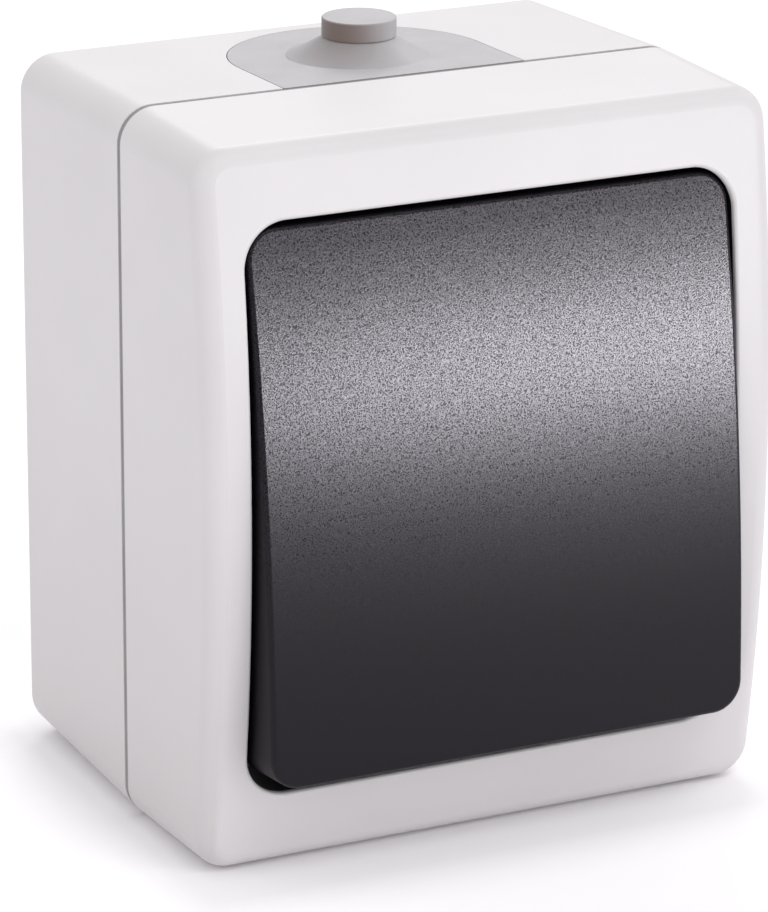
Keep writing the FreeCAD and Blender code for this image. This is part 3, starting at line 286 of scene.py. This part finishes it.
def insert_plastic():
    finish = Finish("insert_plastic")
    cloud = finish.noise(5 * MILLIMETRE, detail=3)
    grain = finish.noise(0.15 * MILLIMETRE)
    finish.link(finish.clouded(cloud, INSERT_CREAM), "Base Color")
    finish.drive("Roughness", grain, 0.42, 0.55)
    finish.bump((grain, 0.003 * MILLIMETRE))
    return finish.material


def metal(name, tones, stretch, smooth, rough):
    """Sheet or turned metal with fine drawing marks along one direction."""
    finish = Finish(name)
    stain = finish.noise(3 * MILLIMETRE, detail=4)
    marks = finish.noise(0.1 * MILLIMETRE, stretch=stretch)
    finish.link(finish.clouded(stain, tones), "Base Color")
    finish.drive("Roughness", marks, smooth, rough)
    finish.set(Metallic=1.0)
    finish.bump((marks, 0.003 * MILLIMETRE))
    return finish.material


MATERIALS = {
    "housing_white": housing_white(),
    "gasket_grey": rubber("gasket_grey", GASKET_GREY),
    # Painted shade on the cone and pip on their side turned from the light; the pip also has a brown tone
    # there
    "gland_grey": rubber("gland_grey", GLAND_GREY, PAINTED_CONE_SHADE, BROWN_AND_SHADED_PIP),
    "lining_black": lining_black(),
    "rocker_dark": rocker_dark(),
    "insert_plastic": insert_plastic(),
    "contact_brass": metal("contact_brass", BRASS, ALONG_Z, smooth=0.22, rough=0.36),
    "contact_silver": metal("contact_silver", SILVER, ALONG_Y, smooth=0.18, rough=0.30),
    "screw_steel": metal("screw_steel", ZINC, ALONG_Y, smooth=0.24, rough=0.38),
}

for subpart in frame["record"]["subparts"]:
    node = frame["nodes"][subpart["node"]]
    node.data.materials.clear()
    node.data.materials.append(MATERIALS[subpart["material_slot"]])


# Spring: it gets a mesh of its own

def shorten_spring():
    spring = frame["nodes"]["plunger_spring"]
    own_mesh(spring)


shorten_spring()


# Stage: a pale floor with painted light, a faint glow that is strongest just beyond the shade of the housing

FLOOR_HALF = 3.0
# The floor gives a little under the lower side of the housing
FLOOR_GIVE = 0.1 * MILLIMETRE
FLOOR_LEVEL = CAD_LOW.z + FLOOR_GIVE
# The painted shadow, where the glow is weakest, reaches a little further to the left than the housing
PAINTED_SHADOW_LOW = CAD_LOW - Vector((1 * MILLIMETRE, 0, 0))
# Strength of the painted glow at distances in metres from the painted shadow
PAINTED_FLOOR_GLOW = (
    (0, 0.042), (0.002, 0.095), (0.005, 0.17), (0.009, 0.21), (0.014, 0.19), (0.03, 0.12), (0.07, 0.062),
)


def make_floor():
    mesh = bpy.data.meshes.new("floor")
    corners = [(x * FLOOR_HALF, y * FLOOR_HALF, FLOOR_LEVEL) for x, y in ((-1, -1), (1, -1), (1, 1), (-1, 1))]
    mesh.from_pydata(corners, [], [(0, 1, 2, 3)])
    floor = bpy.data.objects.new("floor", mesh)
    bpy.context.scene.collection.objects.link(floor)
    finish = Finish("floor_white_painted_glow")
    finish.link(finish.blend(finish.noise(40 * MILLIMETRE), *PAPER), "Base Color")
    # Painted light: the floor glows around the housing, least in its painted shadow and most a few
    # millimetres beyond
    finish.link(finish.steps(finish.outside(PAINTED_SHADOW_LOW, CAD_HIGH), PAINTED_FLOOR_GLOW), "Emission Strength")
    finish.set(Roughness=0.9, Specular_IOR_Level=0.0, Emission_Color=(1.0, 0.975, 1.0, 1))
    mesh.materials.append(finish.material)


make_floor()


# Light

WORLD_STRENGTH = 0.874
# Name, place, target, width and height, and watts of the lamps that light everything
SOFTBOXES = (
    ("top_front", (0.15, -0.62, 1.05), (0, 0, 0), (0.7, 0.4), 2.94),
    ("front_fill", (0.45, -1.25, 0.35), (0, 0, 0), (0.8, 0.5), 1.48),
    ("back_low", (0.34, 0.72, 0.55), (0, 0, 0), (0.4, 0.3), 1.55),
    ("right_high", (0.8, 0.1, 0.6), (0, 0, 0), (0.4, 0.4), 0.45),
)
# The lamp whose reflection is the bright band across the rocker
ROCKER_GLOW = ("rocker_glow", (0.310, -0.545, -0.008), (0.01, -0.05, -0.008), (0.24, 0.064), 2.37)


def make_world(strength):
    world = bpy.data.worlds.new("studio")
    world.use_nodes = True
    background = world.node_tree.nodes["Background"]
    background.inputs["Color"].default_value = (1, 1, 1, 1)
    background.inputs["Strength"].default_value = strength
    bpy.context.scene.world = world


def make_softbox(name, place, target, size, power, diffuse=True):
    light = bpy.data.lights.new(name, "AREA")
    light.shape = "RECTANGLE"
    light.size, light.size_y = size
    light.energy = power
    softbox = bpy.data.objects.new(name, light)
    softbox.location = place
    softbox.rotation_euler = (Vector(target) - Vector(place)).to_track_quat("-Z", "Y").to_euler()
    softbox.visible_diffuse = diffuse
    softbox.visible_camera = False
    bpy.context.scene.collection.objects.link(softbox)


make_world(WORLD_STRENGTH)
for softbox in SOFTBOXES:
    make_softbox(*softbox)
make_softbox(*ROCKER_GLOW, diffuse=False)
bpy.context.scene.view_settings.view_transform = "Standard"


# Camera, from the edges of the housing in the photograph

CAMERA_PLACE = Vector((-0.22492, -0.47245, 0.16183))
CAMERA_YAW = -0.46323
CAMERA_PITCH = 0.31882
CAMERA_ROLL = 0.00408
FOCAL_LENGTH_PX = 5093.4
PHOTO_HEIGHT_PX = 912
SENSOR_MM = 36.0
CLIP_START, CLIP_END = 0.01, 20.0


def make_camera():
    data = bpy.data.cameras.new("camera")
    data.sensor_fit = "VERTICAL"
    data.sensor_height = SENSOR_MM
    data.lens = FOCAL_LENGTH_PX * SENSOR_MM / PHOTO_HEIGHT_PX
    data.clip_start = CLIP_START
    data.clip_end = CLIP_END
    camera = bpy.data.objects.new("camera", data)
    bpy.context.scene.collection.objects.link(camera)
    level = math.cos(CAMERA_PITCH)
    back = Vector((math.sin(CAMERA_YAW) * level, -math.cos(CAMERA_YAW) * level, math.sin(CAMERA_PITCH)))
    right = Vector((math.cos(CAMERA_YAW), math.sin(CAMERA_YAW), 0))
    turn = Matrix((right, back.cross(right), back)).transposed().to_4x4()
    roll = Matrix.Rotation(CAMERA_ROLL, 4, "Z")
    camera.matrix_world = Matrix.Translation(CAMERA_PLACE) @ turn @ roll
    bpy.context.scene.camera = camera


make_camera()
